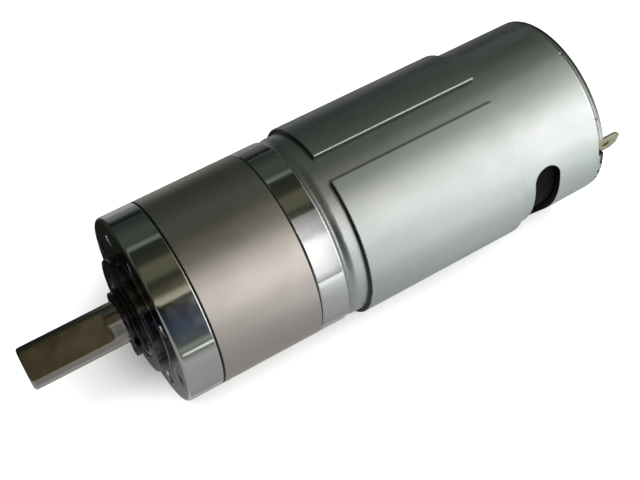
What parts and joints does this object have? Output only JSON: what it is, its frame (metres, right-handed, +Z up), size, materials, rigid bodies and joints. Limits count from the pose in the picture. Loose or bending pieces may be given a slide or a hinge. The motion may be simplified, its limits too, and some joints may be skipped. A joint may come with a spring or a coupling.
{
  "type": "planetary gearmotor",
  "caption": "Round brushed DC motor in a drawn steel can with a split flux ring, driving a D-cut output shaft through an inline two-stage planetary gearbox with a polished face-mount cap.",
  "frame": {"origin": "centre of the gearbox's mounting face, on the output shaft's axis", "axes": "+X out along the output shaft, away from the motor; +Z up, towards the gap in the flux ring; +Y completes the right-handed set, towards one of the two vents and terminals"},
  "size_m": [0.1193, 0.0376, 0.0373],
  "materials": {
    "cap_chrome": "polished nickel-chrome plate on steel, mirror bright",
    "ring_nickel": "satin nickel plate, fine turned grain round the body",
    "adapter_chrome": "polished nickel-chrome plate on steel, mirror bright",
    "can_zinc": "satin zinc plate on deep-drawn steel",
    "flux_zinc": "satin zinc plate on rolled steel strip",
    "end_plate_zinc": "satin zinc plate on stamped steel",
    "shaft_steel": "ground steel with a milled flat",
    "clip_black": "black oiled spring steel",
    "screw_black": "black oxide on machine screws",
    "bearing_steel": "ground and polished bearing steel",
    "bearing_cage": "pressed brass cage",
    "seal_rubber": "black moulded seal",
    "washer_steel": "bright hardened steel washer",
    "gear_steel": "sintered steel, dull grey with oily tooth faces",
    "carrier_steel": "turned steel, lightly oiled",
    "terminal_brass": "stamped brass, slightly dulled",
    "brush_gear_brass": "folded brass sheet",
    "spring_steel": "drawn spring wire and blued spring strip",
    "holder_plastic": "black glass-filled plastic",
    "insulator_plastic": "moulded green insulating plastic",
    "hub_plastic": "brown phenolic moulding",
    "magnet_ferrite": "dark grey sintered ferrite",
    "core_laminations": "stacked silicon-steel sheets",
    "winding_copper": "enamelled copper wire",
    "commutator_copper": "turned copper with brush track",
    "suppressor_ceramic": "dark grey ceramic ring",
    "brush_carbon": "copper-graphite block",
    "bush_bronze": "oil-soaked sintered bronze"
  },
  "bodies": {
    "housing": {"output_cap": "cap_chrome", "ring_gear": "ring_nickel", "adapter_plate": "adapter_chrome", "tie_screws": "screw_black", "motor_screws": "screw_black", "front_bearing_outer_ring": "bearing_steel", "front_bearing_seals": "seal_rubber", "rear_bearing_outer_ring": "bearing_steel", "gearbox_thrust_washer": "washer_steel", "motor_can": "can_zinc", "flux_ring": "flux_zinc", "magnet_top": "magnet_ferrite", "magnet_bottom": "magnet_ferrite", "magnet_clip_left": "spring_steel", "magnet_clip_right": "spring_steel", "front_bush": "bush_bronze", "rear_bush": "bush_bronze", "end_plate": "end_plate_zinc", "brush_holder": "holder_plastic", "brush_box_left": "brush_gear_brass", "brush_box_right": "brush_gear_brass", "brush_left": "brush_carbon", "brush_right": "brush_carbon", "brush_spring_left": "spring_steel", "brush_spring_right": "spring_steel", "terminal_left": "terminal_brass", "terminal_right": "terminal_brass"},
    "output": {"output_shaft": "shaft_steel", "shaft_clip": "clip_black", "clip_washer": "clip_black", "front_bearing_inner_ring": "bearing_steel", "rear_bearing_inner_ring": "bearing_steel", "carrier_washer": "washer_steel", "output_carrier": "carrier_steel", "output_carrier_pins": "carrier_steel"},
    "front_bearing_train": {"front_bearing_balls": "bearing_steel", "front_bearing_cage": "bearing_cage"},
    "rear_bearing_train": {"rear_bearing_balls": "bearing_steel", "rear_bearing_cage": "bearing_cage"},
    "planet_carrier_1": {"stage1_carrier": "carrier_steel", "stage1_carrier_pins": "carrier_steel", "stage2_sun": "gear_steel"},
    "rotor": {"rotor_shaft": "shaft_steel", "motor_pinion": "gear_steel", "armature_core": "core_laminations", "armature_insulators": "insulator_plastic", "armature_windings": "winding_copper", "commutator_hub": "hub_plastic", "suppressor_ring": "suppressor_ceramic", "commutator_segments": "commutator_copper", "rotor_spacers": "hub_plastic"},
    "stage1_planet_a": {"stage1_planet_a": "gear_steel"},
    "stage1_planet_b": {"stage1_planet_b": "gear_steel"},
    "stage1_planet_c": {"stage1_planet_c": "gear_steel"},
    "stage2_planet_a": {"stage2_planet_a": "gear_steel"},
    "stage2_planet_b": {"stage2_planet_b": "gear_steel"},
    "stage2_planet_c": {"stage2_planet_c": "gear_steel"}
  },
  "joints": [
    {"name": "output_spin", "type": "hinge", "parent": "housing", "child": "output", "pos_m": [0, 0, 0], "axis": [1, 0, 0], "continuous": true},
    {"name": "front_bearing_spin", "type": "hinge", "parent": "housing", "child": "front_bearing_train", "pos_m": [0, 0, 0], "axis": [1, 0, 0], "continuous": true},
    {"name": "rear_bearing_spin", "type": "hinge", "parent": "housing", "child": "rear_bearing_train", "pos_m": [0, 0, 0], "axis": [1, 0, 0], "continuous": true},
    {"name": "carrier_1_spin", "type": "hinge", "parent": "housing", "child": "planet_carrier_1", "pos_m": [-0.0185, 0, 0], "axis": [1, 0, 0], "continuous": true},
    {"name": "rotor_spin", "type": "hinge", "parent": "housing", "child": "rotor", "pos_m": [-0.055, 0, 0], "axis": [1, 0, 0], "continuous": true},
    {"name": "stage2_planet_a_spin", "type": "hinge", "parent": "output", "child": "stage2_planet_a", "pos_m": [-0.01465, 0, 0.00788], "axis": [1, 0, 0], "continuous": true},
    {"name": "stage1_planet_a_spin", "type": "hinge", "parent": "planet_carrier_1", "child": "stage1_planet_a", "pos_m": [-0.0219, 0.00617, 0.00356], "axis": [1, 0, 0], "continuous": true},
    {"name": "stage2_planet_b_spin", "type": "hinge", "parent": "output", "child": "stage2_planet_b", "pos_m": [-0.01465, -0.00682, -0.00394], "axis": [1, 0, 0], "continuous": true},
    {"name": "stage1_planet_b_spin", "type": "hinge", "parent": "planet_carrier_1", "child": "stage1_planet_b", "pos_m": [-0.0219, -0.00617, 0.00356], "axis": [1, 0, 0], "continuous": true},
    {"name": "stage2_planet_c_spin", "type": "hinge", "parent": "output", "child": "stage2_planet_c", "pos_m": [-0.01465, 0.00682, -0.00394], "axis": [1, 0, 0], "continuous": true},
    {"name": "stage1_planet_c_spin", "type": "hinge", "parent": "planet_carrier_1", "child": "stage1_planet_c", "pos_m": [-0.0219, 0, -0.00713], "axis": [1, 0, 0], "continuous": true}
  ],
  "couplings": [
    {"joint": "carrier_1_spin", "follows": "output_spin", "ratio": 3.7059},
    {"joint": "rotor_spin", "follows": "output_spin", "ratio": 19.203},
    {"joint": "front_bearing_spin", "follows": "output_spin", "ratio": 0.40083},
    {"joint": "rear_bearing_spin", "follows": "output_spin", "ratio": 0.40083},
    {"joint": "stage2_planet_a_spin", "follows": "output_spin", "ratio": -3.2857},
    {"joint": "stage1_planet_a_spin", "follows": "output_spin", "ratio": -10.028},
    {"joint": "stage2_planet_b_spin", "follows": "output_spin", "ratio": -3.2857},
    {"joint": "stage1_planet_b_spin", "follows": "output_spin", "ratio": -10.028},
    {"joint": "stage2_planet_c_spin", "follows": "output_spin", "ratio": -3.2857},
    {"joint": "stage1_planet_c_spin", "follows": "output_spin", "ratio": -10.028}
  ]
}
